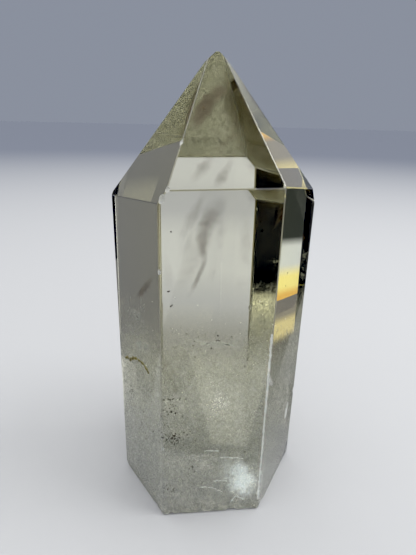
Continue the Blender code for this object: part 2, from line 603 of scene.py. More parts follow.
# The healed cracks' colours are their own; their glow is painted light.
HEALED = InclusionFinish(
    "healed_crack", colour=(0.92, 0.94, 0.93), other_colour=(0.62, 0.64, 0.58), make=Make.FADING,
    patch_scale=320.0, grain_scale=2600.0, cover=0.54, edge=0.1, strength=0.75, painted_glow=0.03,
)
CLOUDY = InclusionFinish(
    "faint_veil", colour=(0.90, 0.90, 0.88), other_colour=(0.74, 0.68, 0.60), make=Make.FADING,
    patch_scale=90.0, grain_scale=300.0, cover=0.62, edge=0.4, strength=0.22,
)
# The shell flash: whitish fracture sheets whose glow is a painted flash of light.
FLASH = InclusionFinish(
    "shell_flash", colour=(0.92, 0.97, 0.98), other_colour=(0.80, 0.85, 0.84), make=Make.FADING,
    patch_scale=420.0, grain_scale=2200.0, cover=0.62, edge=0.2, strength=0.9, painted_glow=0.28,
)
TAN = InclusionFinish(
    "smoky_zone", colour=(0.13, 0.10, 0.025), other_colour=(0.20, 0.17, 0.06), make=Make.FADING,
    patch_scale=120.0, grain_scale=300.0, cover=0.95, edge=0.6, strength=0.5,
)
DARK_SPECK = InclusionFinish(
    "dark_speck", colour=(0.05, 0.045, 0.03), other_colour=(0.12, 0.10, 0.06), patch_scale=900.0
)
# The flecks are white; their sparkle is a painted glint, made by their glow.
SPARKLE = InclusionFinish(
    "fleck_painted_glint", colour=(0.95, 0.98, 0.97), other_colour=(0.95, 0.93, 0.80), rough=0.3,
    patch_scale=60.0, painted_glow=0.45,
)
# Real white cracks; their glow is painted light that keeps them bright.
OPEN_CRACK = InclusionFinish(
    "open_crack", colour=(0.95, 0.96, 0.93), other_colour=(0.80, 0.84, 0.83), rough=0.35,
    patch_scale=700.0, painted_glow=0.2,
)
HAIR = InclusionFinish(
    "fine_hair_crack", colour=(0.86, 0.88, 0.86), other_colour=(0.55, 0.57, 0.52), rough=0.5,
    patch_scale=700.0,
)
IRON = InclusionFinish(
    "iron_stain", colour=(0.42, 0.38, 0.08), other_colour=(0.24, 0.20, 0.05), patch_scale=900.0
)


@dataclass
class QuartzCrystal:
    """The clear crystal: cut block, ground edges and chips."""

    block_width: float = 90.0
    block_height: float = 140.0
    body_edge_facet: float = 0.4
    base_edge_facet: float = 0.7
    point_edge_facet: float = 0.3
    tip_edge_facet: float = 0.15
    foot_zone: float = 1.0
    long_edge: float = 60.0
    tip_zone: float = 120.0
    flush: float = 0.9999
    scoop_reach: float = 3.0
    strike: Place = (0.9, 0.3, -1.0)
    ripple_turn: float = 6.2832
    ripple_count: float = 5.0
    ripple_height: float = 0.05
    pit_scale: float = 3.0
    pit_height: float = 0.08

    def facet_width(self, heights: list[float]) -> float:
        """Width of the facet that is ground along an edge.

        Args:
            heights: The heights of the edge's two ends.

        Returns:
            The width.
        """
        if max(heights) < self.foot_zone:
            return self.base_edge_facet
        if max(heights) - min(heights) > self.long_edge:
            return self.body_edge_facet
        if min(heights) > self.tip_zone:
            return self.tip_edge_facet
        return self.point_edge_facet

    def block(self) -> bpy.types.Object:
        """Cuts a block back to the twelve faces and the base.

        Returns:
            The crystal, still sharp.
        """
        Bench.clear()
        size = (self.block_width * MM, self.block_width * MM, self.block_height * MM)
        bpy.ops.mesh.primitive_cube_add(size=1.0, location=(0.0, 0.0, size[2] / 2), scale=size)
        crystal = Bench.finish_primitive("quartz_crystal")
        bpy.ops.object.mode_set(mode="EDIT")
        for side in SIDES:
            for plane in side.planes():
                Bench.cut_off(plane.place * MM, plane.normal)
        bpy.ops.object.mode_set(mode="OBJECT")
        return crystal

    def grind_edges(self, crystal: bpy.types.Object) -> None:
        """Grinds every sharp edge to a narrow facet, square to its two faces, and blunts the tip.

        Args:
            crystal: The crystal, still sharp.
        """
        facets = []
        shape = bmesh.new()
        shape.from_mesh(crystal.data)
        shape.normal_update()
        for edge in shape.edges:
            one, other = (face.normal.copy() for face in edge.link_faces)
            half_angle = (radians(180.0) - one.angle(other)) / 2
            width = self.facet_width([corner.co.z / MM for corner in edge.verts])
            normal = (one + other).normalized()
            facets.append((edge.verts[0].co - normal * width * MM / (2 * tan(half_angle)), normal))
        shape.free()
        Bench.pick(crystal)
        bpy.ops.object.mode_set(mode="EDIT")
        for place, normal in facets:
            Bench.cut_off(place, normal)
        for facet in TIP_FACETS:
            Bench.cut_off(Vector(facet.place) * MM, outward(facet.azimuth, facet.lift))
        bpy.ops.object.mode_set(mode="OBJECT")

    def frost_edges(self, crystal: bpy.types.Object, space: "CrystalSpace") -> None:
        """Gives the narrow facets along the edges their own finish, a little frosted by the grinding.

        Args:
            crystal: The crystal, before its chips.
            space: The room inside it, which knows the polished faces.
        """
        crystal.data.materials.append(GROUND.material())
        slot = len(crystal.data.materials) - 1
        for face in crystal.data.polygons:
            if (space.normals @ np.array(face.normal)).max() < self.flush:
                face.material_index = slot

    def scoop(self, chip: Chip) -> bpy.types.Object:
        """The ball that scoops one chip, flattened to its size and rippled like a shell.

        Args:
            chip: The chip.

        Returns:
            The cutter.
        """
        opening = outward(chip.azimuth, chip.lift)
        side_on = UPWARD.cross(opening).normalized()
        axes = Matrix((side_on, opening.cross(side_on), opening)).transposed()
        turned = axes @ Matrix.Rotation(radians(chip.roll), 3, "Z")
        reach = self.scoop_reach * chip.depth
        mouth = sqrt(1.0 - ((reach - chip.depth) / reach) ** 2)
        radii = np.array((chip.length / 2 / mouth, chip.width / 2 / mouth, reach))
        Bench.clear()
        bpy.ops.mesh.primitive_ico_sphere_add(subdivisions=5, radius=1.0)
        ball = Bench.finish_primitive(chip.name)
        points = Bench.read_points(ball)
        rings = np.linalg.norm(points - np.array(self.strike) * mouth, axis=1) * self.ripple_count
        swell = 1.0 + self.ripple_height * np.sin(rings * self.ripple_turn)
        shift = Vector(chip.place)
        pits = np.array([noise.noise(Vector(point) * self.pit_scale + shift) for point in points])
        points = points * (swell + self.pit_height * pits)[:, None] * radii
        middle = Vector(chip.place) + opening * (reach - chip.depth)
        Bench.write_points(ball, (points @ np.array(turned).T + np.array(middle)) * MM)
        return ball

    def build(self, space: "CrystalSpace") -> bpy.types.Object:
        """Builds the crystal in its three finishes: polished, ground and freshly chipped.

        Args:
            space: The room inside it.

        Returns:
            The crystal.
        """
        crystal = self.block()
        self.grind_edges(crystal)
        crystal.data.materials.append(POLISHED.material())
        self.frost_edges(crystal, space)
        fresh = FRACTURED.material()
        crystal.data.materials.append(fresh)
        for chip in CHIPS:
            ball = self.scoop(chip)
            ball.data.materials.append(fresh)
            cut = crystal.modifiers.new(chip.name, "BOOLEAN")
            cut.operation = "DIFFERENCE"
            cut.solver = "EXACT"
            cut.material_mode = "TRANSFER"
            cut.object = ball
            Bench.apply(crystal, cut)
            bpy.data.objects.remove(ball, do_unlink=True)
        return crystal


@dataclass(frozen=True)
class Pattern:
    """A small shape that is modelled once and then copied many times."""

    points: np.ndarray
    faces: np.ndarray

    @classmethod
    def take(cls, item: bpy.types.Object) -> "Pattern":
        """Reads a primitive that was modelled at unit size, and removes it.

        Args:
            item: The object, of three-sided faces.

        Returns:
            Its pattern.
        """
        faces = np.array([list(face.vertices) for face in item.data.polygons])
        points = Bench.read_points(item)
        bpy.data.objects.remove(item, do_unlink=True)
        return cls(points, faces)

    @classmethod
    def fleck(cls) -> "Pattern":
        """Models a flat three-sided chip.

        Returns:
            The chip's pattern.
        """
        Bench.clear()
        bpy.ops.mesh.primitive_cone_add(vertices=3, radius1=1.0, depth=0.7, end_fill_type="NGON")
        return cls.take(Bench.finish_primitive("fleck"))

    @classmethod
    def grain(cls, seed: int = 3, lumps: float = 0.25, detail: int = 2) -> "Pattern":
        """A lumpy grain.

        Args:
            seed: Which lumps it gets.
            lumps: Their height, as a share of the radius.
            detail: 1 for twenty faces, 2 for eighty.

        Returns:
            The grain's pattern.
        """
        Bench.clear()
        bpy.ops.mesh.primitive_ico_sphere_add(subdivisions=detail, radius=1.0)
        grain = cls.take(Bench.finish_primitive("grain"))
        shift = Vector((seed * 7.3, seed * 1.9, seed * 4.1))
        swell = np.array([1.0 + lumps * noise.noise(Vector(point) * 1.6 + shift) for point in grain.points])
        return cls(grain.points * swell[:, None], grain.faces)

    def copies(
        self, name: str, places: np.ndarray, turns: np.ndarray, sizes: np.ndarray
    ) -> bpy.types.Object:
        """Joins turned and sized copies into one object.

        Args:
            name: The object's name.
            places: Middle of each copy, in millimetres.
            turns: A three by three rotation for each copy.
            sizes: Half size along each of the pattern's axes for each copy, in millimetres.

        Returns:
            The object.
        """
        count = len(places)
        shaped = self.points[None, :, :] * sizes[:, None, :]
        points = (np.einsum("nij,npj->npi", turns, shaped) + places[:, None, :]) * MM
        starts = np.arange(count)[:, None, None] * len(self.points)
        corners = (self.faces[None, :, :] + starts).reshape(-1, 3)
        mesh = bpy.data.meshes.new(name)
        mesh.vertices.add(count * len(self.points))
        mesh.vertices.foreach_set("co", points.ravel())
        mesh.loops.add(corners.size)
        mesh.loops.foreach_set("vertex_index", corners.ravel())
        mesh.polygons.add(len(corners))
        mesh.polygons.foreach_set("loop_start", np.arange(len(corners)) * 3)
        mesh.update(calc_edges=True)
        piece = bpy.data.objects.new(name, mesh)
        bpy.context.scene.collection.objects.link(piece)
        return piece


def any_turns(rng: np.random.Generator, count: int) -> np.ndarray:
    """Draws rotations that point everywhere alike.

    Args:
        rng: The random source.
        count: How many.

    Returns:
        One three by three matrix each.
    """
    quaternions = rng.normal(size=(count, 4))
    quaternions /= np.linalg.norm(quaternions, axis=1, keepdims=True)
    w, x, y, z = quaternions.T
    rows = (
        (1 - 2 * (y * y + z * z), 2 * (x * y - z * w), 2 * (x * z + y * w)),
        (2 * (x * y + z * w), 1 - 2 * (x * x + z * z), 2 * (y * z - x * w)),
        (2 * (x * z - y * w), 2 * (y * z + x * w), 1 - 2 * (x * x + y * y)),
    )
    return np.array(rows).transpose(2, 0, 1)


@dataclass
class MilkyCloud:
    """The milk of the lower half: a haze of soft flecks with fine solid flecks in it."""

    space: CrystalSpace
    seed: int = 11
    fine_each: int = 46000
    fine_levels: int = 4
    fine_size: float = 0.0715
    soft_count: int = 36000
    soft_size: float = 0.75
    foot: tuple[float, float] = (20.0, 5.0)
    foot_share: float = 0.3
    top: float = 47.5
    full: float = 34.0
    rise: float = 4.0
    skin: float = 0.2
    billow: float = 14.0
    billow_base: float = 0.88
    billow_share: float = 0.12
    half_box: tuple[float, float] = (27.0, 23.0)
    size_spread: float = 0.3
    size_room: float = 0.6
    sharpest: float = 1.1

    def density(self, points: np.ndarray) -> np.ndarray:
        """Tells how thick the milk is.

        Args:
            points: Rows of X, Y and Z in millimetres.

        Returns:
            A value from 0 to 1 for each point.
        """
        billows = np.array([noise.fractal(Vector(point) / self.billow, 1.0, 2.0, 3) for point in points])
        height = points[:, 2] + self.rise * billows
        foot = self.foot_share * smooth(points[:, 2], *self.foot)
        patches = self.billow_base + self.billow_share * billows
        return smooth(height, self.top, self.full) * (1.0 - self.foot_share + foot) * patches

    def places(self, rng: np.random.Generator, count: int, skin: float) -> np.ndarray:
        """Draws places inside the milk.

        Args:
            rng: The random source.
            count: How many places.
            skin: Least depth under the faces.

        Returns:
            Rows of X, Y and Z in millimetres.
        """
        found = []
        total = 0
        wide, deep = self.half_box
        while total < count:
            points = rng.uniform((-wide, -deep, 0.0), (wide, deep, self.top + self.rise), (count, 3))
            points = points[self.space.depth(points) > skin]
            points = points[rng.random(len(points)) < self.density(points)]
            found.append(points)
            total += len(points)
        return np.concatenate(found)[:count]

    def level(
        self, name: str, rng: np.random.Generator, count: int, size: float, material: bpy.types.Material
    ) -> bpy.types.Object:
        """Builds one mesh of the cloud.

        Args:
            name: Its name.
            rng: The random source.
            count: How many flecks.
            size: Their usual half size, in millimetres.
            material: Their finish.

        Returns:
            The mesh's object.
        """
        spots = self.places(rng, count, self.skin + size * self.size_room)
        room = (self.space.depth(spots)[:, None] - self.skin) / self.sharpest
        sizes = np.minimum(size * rng.lognormal(0.0, self.size_spread, (count, 1)), room) * np.ones((1, 3))
        piece = Pattern.fleck().copies(name, spots, any_turns(rng, count), sizes)
        piece.data.materials.append(material)
        return piece

    def build(self) -> list[bpy.types.Object]:
        """Builds the haze and the levels of fine flecks.

        Returns:
            Their meshes' objects, the haze first.
        """
        rng = np.random.default_rng(self.seed)
        milk = MILK.material()
        haze = self.level("milky_haze", rng, self.soft_count, self.soft_size, HAZE.material())
        names = [f"milky_cloud_{number + 1}" for number in range(self.fine_levels)]
        return [haze] + [self.level(name, rng, self.fine_each, self.fine_size, milk) for name in names]


@dataclass(frozen=True)
class Sheet:
    """A thin soft-edged sheet along a line inside the quartz, in millimetres."""

    line: tuple[Place, ...]
    widths: tuple[float, ...]
    normal: Vector
    fade_ends: float = 0.4
    fade_power: float = 1.5
    strength: float = 1.0
    wave: float = 0.4
    wave_length: float = 3.0
    jag: float = 0.12
    jag_length: float = 1.1
    jag_shift: Place = (5.0, 1.0, 2.0)
    look: float = 0.04
    steps_along: int = 44
    steps_across: int = 10
    thickness: float = 0.03
    skin: float = 0.35

    def along_line(self, share: np.ndarray) -> np.ndarray:
        """Finds places on the line.

        Args:
            share: How far along, from 0 to 1.

        Returns:
            Rows of X, Y and Z in millimetres.
        """
        stops = np.array(self.line)
        marks = self.marks()
        return np.stack([np.interp(share, marks, stops[:, axis]) for axis in range(3)], axis=1)

    def marks(self) -> np.ndarray:
        """How far along the line each of its points lies, from 0 to 1."""
        lengths = np.linalg.norm(np.diff(np.array(self.line), axis=0), axis=1)
        return np.concatenate(([0.0], np.cumsum(lengths))) / lengths.sum()

    def build(self, name: str, material: bpy.types.Material, space: CrystalSpace) -> bpy.types.Object:
        """Builds the sheet, thickened so that it is closed.

        Args:
            name: The object's name.
            material: Its finish, which reads the point attribute "fade".
            space: The room inside the crystal, which it stays within.

        Returns:
            The sheet.
        """
        Bench.clear()
        bpy.ops.mesh.primitive_grid_add(
            x_subdivisions=self.steps_across, y_subdivisions=self.steps_along, size=2.0
        )
        sheet = Bench.finish_primitive(name)
        across_share, along_share = Bench.read_points(sheet)[:, :2].T
        along = (along_share + 1.0) / 2.0
        widths = np.interp(along, self.marks(), self.widths)
        way = self.along_line(along + self.look) - self.along_line(along - self.look)
        sideways = np.cross(way, np.array(self.normal))
        sideways /= np.linalg.norm(sideways, axis=1, keepdims=True)
        points = self.along_line(along) + sideways * (across_share * widths / 2.0)[:, None]
        shift = Vector(self.jag_shift)
        swing = np.array([noise.noise(Vector(point) / self.wave_length) for point in points])
        jags = np.array([noise.noise(Vector(point) / self.jag_length + shift) for point in points])
        points += np.array(self.normal) * (swing * self.wave)[:, None]
        points += sideways * (jags * widths * self.jag)[:, None]
        Bench.write_points(sheet, space.pull_inside(points, self.skin) * MM)
        fade = (1.0 - across_share**2) ** self.fade_power
        fade *= self.strength * smooth(along, 0.0, self.fade_ends) * smooth(along, 1.0, 1.0 - self.fade_ends)
        layer = sheet.data.attributes.new("fade", "FLOAT", "POINT")
        layer.data.foreach_set("value", fade)
        thicken = sheet.modifiers.new("thickness", "SOLIDIFY")
        thicken.thickness = self.thickness * MM
        Bench.apply(sheet, thicken)
        sheet.data.materials.append(material)
        bpy.ops.object.shade_smooth()
        return sheet


POINT_FRONT = outward(FRONT.point_azimuth, 90.0 - FRONT.point_slope)


def build_sheets(
    groups: tuple[tuple[InclusionFinish, dict[str, Sheet]], ...], space: CrystalSpace
) -> list[bpy.types.Object]:
    """Builds groups of sheets, each group in its own finish.

    Args:
        groups: The finishes, each with its sheets by name.
        space: The room inside the crystal.

    Returns:
        The sheets' objects.
    """
    built = []
    for finish, sheets in groups:
        material = finish.material()
        built += [sheet.build(name, material, space) for name, sheet in sheets.items()]
    return built


@dataclass
class SmokyWisps:
    """Brown wisps of smoke and faint veils in the clear upper half."""

    zone_skin: float = 0.6

    def sheets(self) -> dict[str, Sheet]:
        """Lays out the wisps.

        Returns:
            Them by name.
        """
        front = outward(FRONT.azimuth)
        left = outward(LEFT.azimuth)
        return {
            "wisp_point": Sheet(
                ((1.6, -6.4, 113.8), (-0.8, -7.6, 111.4), (-3.6, -9.2, 108.6), (-5.8, -11.0, 105.6),
                 (-7.2, -12.5, 102.6)),
                (2.0, 3.6, 4.6, 4.0, 2.4), POINT_FRONT, strength=1.9,
            ),
            "wisp_point_thin": Sheet(
                ((3.8, -12.4, 103.6), (0.6, -13.6, 101.2), (-3.2, -15.4, 98.0)), (1.0, 1.8, 1.4), POINT_FRONT,
                strength=0.5,
            ),
            "wisp_point_low": Sheet(
                ((-2.4, -15.1, 98.6), (-5.2, -17.0, 95.4), (-8.0, -18.9, 92.0)), (1.6, 3.4, 2.0), POINT_FRONT,
                strength=0.7,
            ),
            "wisp_point_right": Sheet(
                ((1.6, -15.7, 97.8), (-1.2, -18.2, 93.5), (-3.0, -19.4, 90.6)), (1.4, 3.0, 1.8), POINT_FRONT,
                strength=0.7,
            ),
            "wisp_main": Sheet(
                ((-0.2, -19.5, 91.4), (-3.2, -19.5, 86.2), (-5.1, -19.5, 82.4), (-5.5, -19.5, 79.2),
                 (-4.7, -19.5, 75.4), (-6.8, -19.5, 69.8), (-9.0, -19.5, 65.6)),
                (3.6, 5.8, 4.4, 2.6, 1.6, 1.5, 1.0), front, wave=0.8, fade_ends=0.3,
            ),
            "wisp_faint": Sheet(
                ((-4.8, -19.0, 91.4), (-7.5, -19.0, 86.2), (-10.8, -19.0, 79.6)), (1.8, 3.2, 2.4), front,
                strength=0.5,
            ),
            "wisp_inner": Sheet(
                ((-2.0, -12.0, 84.0), (-6.0, -13.0, 76.0), (-11.0, -13.0, 66.0)), (3.0, 5.0, 3.0), front,
                strength=0.35,
            ),
            "wisp_corner": Sheet(
                ((-13.9, -19.0, 78.5), (-13.0, -18.5, 72.0), (-12.4, -18.5, 65.6)), (1.6, 3.4, 2.4), front,
                strength=0.2,
            ),
            "wisp_left": Sheet(
                ((-14.4, -17.8, 71.7), (-17.0, -13.4, 66.7), (-19.9, -8.4, 61.4)), (1.6, 2.8, 1.6), left
            ),
        }

    def zones(self) -> dict[str, Sheet]:
        """Lays out the smoky zone under the back right point face, in rows from the tip down.

        Returns:
            Its two sheets by name.
        """
        away = outward(BACK_RIGHT.point_azimuth)
        aside = across(BACK_RIGHT.point_azimuth)
        normal = outward(BACK_RIGHT.point_azimuth, 90.0 - BACK_RIGHT.point_slope)
        slope = tan(radians(BACK_RIGHT.point_slope))

        def under(height: float, sideways: float) -> Place:
            """Finds a place just under the point face.

            Args:
                height: Its height, in millimetres.
                sideways: How far it lies to the right of the face's middle.

            Returns:
                Its X, Y and Z.
            """
            reach = BACK_RIGHT.distance - (height - BACK_RIGHT.shoulder) / slope
            return tuple(away * reach + aside * sideways + UPWARD * height - normal * self.zone_skin)

        def low(height: float, sideways: float) -> Place:
            """A place just under the upright face below it."""
            side = outward(BACK_RIGHT.azimuth) * (BACK_RIGHT.distance - self.zone_skin)
            return tuple(side + aside * sideways + UPWARD * height)

        return {
            "smoky_zone_high": Sheet(
                (under(118.0, -3.5), under(112.0, -2.0), under(107.0, 0.0), under(101.0, 1.5),
                 under(96.0, 2.0)),
                (4.0, 9.0, 14.0, 18.0, 20.0), normal, fade_ends=0.3, wave=0.0, strength=0.4,
            ),
            "smoky_zone_low": Sheet(
                (under(112.0, -1.0), under(104.0, 1.0), under(98.0, 2.5), under(91.0, 4.5), under(86.0, 5.0),
                 low(82.0, 5.0)),
                (10.0, 17.0, 22.0, 24.0, 24.0, 20.0), normal, fade_ends=0.16, wave=0.0, strength=0.62,
            ),
        }

    def veils(self) -> dict[str, Sheet]:
        """Lays out the faint whitish veils of the clear half.

        Returns:
            Them by name.
        """
        front = outward(FRONT.azimuth)
        return {
            "faint_veil_left": Sheet(
                ((-5.6, -18.4, 89.0), (-8.6, -18.4, 80.0), (-10.4, -18.0, 70.0)), (2.6, 4.6, 3.4), front,
                wave=0.8,
            ),
            "faint_veil_middle": Sheet(
                ((0.6, -17.8, 90.0), (-1.4, -17.8, 80.0), (-3.4, -17.4, 66.0)), (1.6, 3.0, 2.2), front,
                wave=0.8,
            ),
            "faint_veil_right": Sheet(
                ((3.4, -18.2, 91.0), (4.8, -18.2, 79.0), (4.0, -17.6, 64.0)), (3.0, 4.4, 3.0), front,
                wave=0.8,
            ),
        }

    def build(self, space: CrystalSpace) -> list[bpy.types.Object]:
        """Builds the wisps, the smoky zone and the faint veils.

        Args:
            space: The room inside the crystal.

        Returns:
            Their objects.
        """
        groups = ((SMOKE, self.sheets()), (TAN, self.zones()), (CLOUDY, self.veils()))
        return build_sheets(groups, space)


@dataclass
class HealedVeils:
    """Healed cracks: speckled silvery veils where the milk begins, and the painted shell flash at the foot.
    """

    def sheets(self) -> dict[str, Sheet]:
        """Lays out the veils.

        Returns:
            Them by name.
        """
        return {
            "veil_front": Sheet(
                ((-11.0, -17.5, 54.2), (-5.0, -17.0, 53.6), (3.0, -16.0, 52.8), (9.0, -15.0, 54.6)),
                (4.0, 9.0, 10.0, 7.0), UPWARD, wave=1.4,
            ),
            "veil_left": Sheet(
                ((-22.8, -5.5, 58.5), (-20.4, -9.6, 57.6), (-18.2, -13.6, 56.6)), (2.2, 3.6, 2.4),
                outward(LEFT.azimuth, 30.0), wave=0.8, strength=0.45,
            ),
            "veil_left_low": Sheet(
                ((-22.5, -6.5, 48.0), (-19.0, -11.5, 49.0), (-16.0, -17.2, 51.5)), (2.6, 4.6, 2.6),
                outward(LEFT.azimuth, 40.0), wave=0.8,
            ),
        }

    def flashes(self) -> dict[str, Sheet]:
        """Lays out the shell-shaped white flash at the foot, in steps like a shell's rings; its glow is
        painted light.

        Returns:
            Its sheets by name.
        """
        outer = outward(-10.0, 25.0)
        return {
            "flash_inner": Sheet(
                ((4.6, -20.9, 12.5), (7.0, -21.2, 8.2), (10.4, -21.0, 4.0)), (3.6, 5.4, 3.8), outer, wave=0.6
            ),
            "flash_middle": Sheet(
                ((4.8, -20.2, 17.5), (8.0, -20.4, 11.5), (11.6, -20.2, 6.0)), (3.4, 5.4, 3.6), outer, wave=0.8
            ),
            "flash_deep": Sheet(
                ((2.6, -19.0, 18.0), (6.6, -19.2, 10.0), (11.0, -19.0, 2.5)), (7.0, 11.0, 8.0), outer,
                wave=1.2, strength=0.9,
            ),
        }

    def build(self, space: CrystalSpace) -> list[bpy.types.Object]:
        """Builds the veils and the flash.

        Args:
            space: The room inside the crystal.

        Returns:
            Their objects.
        """
        return build_sheets(((HEALED, self.sheets()), (FLASH, self.flashes())), space)


@dataclass(frozen=True)
class Swarm:
    """A loose cluster of grains: its middle, how far it reaches each way and how many it has."""

    middle: Place
    reach: Place
    grains: int

    def places(self, rng: np.random.Generator) -> np.ndarray:
        """Draws the places of its grains."""
        return rng.normal(self.middle, self.reach, (self.grains, 3))


@dataclass
class Specks:
    """Dark specks, alone and in swarms, under the polished faces."""

    seed: int = 5
    single_size: float = 0.22
    single_range: tuple[float, float] = (0.7, 1.2)
    grain_size: float = 0.13
    grain_spread: float = 0.35
    grain_range: tuple[float, float] = (0.7, 1.4)
    skin: float = 0.3
    cover: float = 0.05
    sharpest: float = 1.2
    singles: tuple[Place, ...] = (
        (-12.3, -22.0, 82.9), (-13.1, -22.0, 68.9), (-12.8, -22.0, 69.0), (-12.5, -22.0, 65.2),
        (-12.2, -22.0, 65.5), (-1.6, -22.0, 55.9), (-1.2, -22.0, 55.9), (-0.8, -22.0, 55.8),
        (16.0, -15.9, 70.9), (15.7, -16.5, 67.7), (6.0, -21.0, 48.0), (7.4, -21.6, 21.0),
    )
    swarms: tuple[Swarm, ...] = (
        Swarm((-12.4, -22.1, 36.2), (1.6, 0.2, 1.8), 26),
        Swarm((-12.2, -22.1, 39.6), (1.8, 0.2, 0.3), 20),
        Swarm((-13.2, -22.1, 27.3), (2.2, 0.2, 1.6), 40),
        Swarm((-10.8, -22.1, 26.0), (2.6, 0.2, 2.2), 44),
        Swarm((-6.8, -22.1, 16.1), (0.6, 0.2, 0.8), 14),
        Swarm((-13.2, -22.0, 8.8), (1.4, 0.3, 1.2), 18),
        Swarm((-23.7, -6.4, 31.6), (0.8, 1.2, 1.0), 22),
        Swarm((-19.6, -13.0, 24.0), (2.0, 3.0, 3.0), 30),
        Swarm((-2.0, -20.0, 54.5), (6.0, 1.5, 1.6), 16),
        Swarm((5.6, -21.0, 4.4), (0.9, 0.3, 0.7), 10),
    )

    def build(self, space: CrystalSpace) -> bpy.types.Object:
        """Builds the specks as one mesh.

        Args:
            space: The room inside the crystal.

        Returns:
            The specks.
        """
        rng = np.random.default_rng(self.seed)
        grains = np.concatenate([swarm.places(rng) for swarm in self.swarms])
        places = space.pull_inside(np.concatenate((np.array(self.singles), grains)), self.skin)
        sizes = self.grain_size * rng.lognormal(0.0, self.grain_spread, (len(places), 1))
        sizes = sizes * rng.uniform(*self.grain_range, (len(places), 3))
        single = len(self.singles)
        sizes[:single] = self.single_size * rng.uniform(*self.single_range, (single, 3))
        sizes = np.minimum(sizes, (space.depth(places)[:, None] - self.cover) / self.sharpest)
        specks = Pattern.grain(detail=1).copies("dark_specks", places, any_turns(rng, len(places)), sizes)
        specks.data.materials.append(DARK_SPECK.material())
        return specks


@dataclass
class Sparkles:
    """White flecks with a painted glint from their glow: the sparkling patch of the front and single ones
    around it.
    """

    seed: int = 8
    size: float = 0.12
    size_spread: float = 0.4
    skin: float = 0.4
    patch: Swarm = Swarm((-0.6, -20.8, 36.8), (1.5, 0.8, 2.1), 240)
    foot: Swarm = Swarm((8.2, -20.4, 9.0), (1.9, 0.7, 3.2), 420)
    stray_count: int = 220
    stray_box: tuple[Place, Place] = ((-26.0, -22.0, 1.0), (26.0, 5.0, 62.0))
    streak_count: int = 18
    streak_line: tuple[Place, Place] = ((1.5, -21.4, 36.5), (1.9, -21.4, 43.3))
    streak_width: float = 0.1
    # single flecks, whose glint is painted by their glow
    bright: tuple[Place, ...] = (
        (-11.5, -21.8, 67.4), (8.4, -21.8, 66.0), (-3.2, -21.8, 46.4), (-2.6, -21.8, 44.0),
        (0.6, -21.5, 71.2),
    )

    def build(self, space: CrystalSpace) -> bpy.types.Object:
        """Builds the flecks as one mesh.

        Args:
            space: The room inside the crystal.

        Returns:
            The flecks.
        """
        rng = np.random.default_rng(self.seed)
        patch = self.patch.places(rng)
        strays = rng.uniform(*self.stray_box, (self.stray_count, 3))
        streak = np.linspace(*self.streak_line, self.streak_count)
        streak = streak + rng.normal(0.0, self.streak_width, (self.streak_count, 3))
        loose = np.concatenate((patch, strays, streak, self.foot.places(rng)))
        loose = loose[space.depth(loose) > self.skin]
        places = np.concatenate((np.array(self.bright), loose))
        sizes = self.size * rng.lognormal(0.0, self.size_spread, (len(places), 1)) * np.ones((1, 3))
        sparkles = Pattern.fleck().copies("sparkles", places, any_turns(rng, len(places)), sizes)
        sparkles.data.materials.append(SPARKLE.material())
        return sparkles


@dataclass(frozen=True)
class Lens:
    """A small open crack, flat as a lens."""

    start: Vector
    end: Vector
    width: float
    normal: Vector
    thickness: float

    def frame(self) -> tuple[np.ndarray, np.ndarray, np.ndarray]:
        """Works out how the lens lies.

        Returns:
            Its middle, its rotation and its half sizes.
        """
        start = np.array(self.start)
        end = np.array(self.end)
        long_way = (end - start) / np.linalg.norm(end - start)
        short_way = np.cross(np.array(self.normal), long_way)
        short_way /= np.linalg.norm(short_way)
        turn = np.stack((long_way, short_way, np.cross(long_way, short_way)), axis=1)
        half = np.array((np.linalg.norm(end - start) / 2, self.width / 2, self.thickness))
        return (start + end) / 2, turn, half


@dataclass(frozen=True)
class Split:
    """An open split: a broken row of overlapping lenses along a straight line, in millimetres."""

    start: Place
    end: Place
    links: int = 7
    jitter: float = 0.13
    overlap: float = 0.3
    widths: tuple[float, float] = (0.4, 1.2)
    width_scale: float = 0.55
    normal: Vector = outward(0.0, 68.0)
    thickness: float = 0.04

    def lenses(self, rng: np.random.Generator) -> list[Lens]:
        """Lays out the row.

        Args:
            rng: The random source.

        Returns:
            Its lenses.
        """
        stops = np.linspace(self.start, self.end, self.links + 1)
        stops = stops + rng.normal(0.0, self.jitter, stops.shape)
        found = []
        for one, other in zip(stops[:-1], stops[1:]):
            width = self.width_scale * rng.uniform(*self.widths)
            past = other * (1.0 + self.overlap) - one * self.overlap
            found.append(Lens(tuple(one), tuple(past), width, self.normal, self.thickness))
        return found


@dataclass(frozen=True)
class HairFan:
    """The hairs, fanned like a feather under the left face."""

    count: int = 60
    sideways: tuple[float, float] = (-8.5, 3.5)
    height: float = 56.0
    height_slope: float = 0.35
    height_spread: float = 3.0
    depth: tuple[float, float] = (0.6, 2.2)
    steep_above: float = 57.0
    steep: float = 70.0
    gentle: float = 25.0
    slant_spread: float = 18.0
    half_length: tuple[float, float] = (0.35, 1.5)
    width: float = 0.12
    thickness: float = 0.04

    def lenses(self, rng: np.random.Generator) -> list[Lens]:
        """Lays out the hairs.

        Args:
            rng: The random source.

        Returns:
            Them, as very narrow lenses.
        """
        level = across(LEFT.azimuth)
        normal = outward(LEFT.azimuth)
        found = []
        for _ in range(self.count):
            sideways = rng.uniform(*self.sideways)
            height = self.height + self.height_slope * sideways + rng.normal(0.0, self.height_spread)
            middle = normal * (LEFT.distance - rng.uniform(*self.depth)) + level * sideways
            middle.z = height
            usual = self.steep if height > self.steep_above else self.gentle
            slant = radians(rng.normal(usual, self.slant_spread))
            way = level * cos(slant) + Vector((0.0, 0.0, sin(slant)))
            half = rng.uniform(*self.half_length)
            found.append(Lens(middle - way * half, middle + way * half, self.width, normal, self.thickness))
        return found


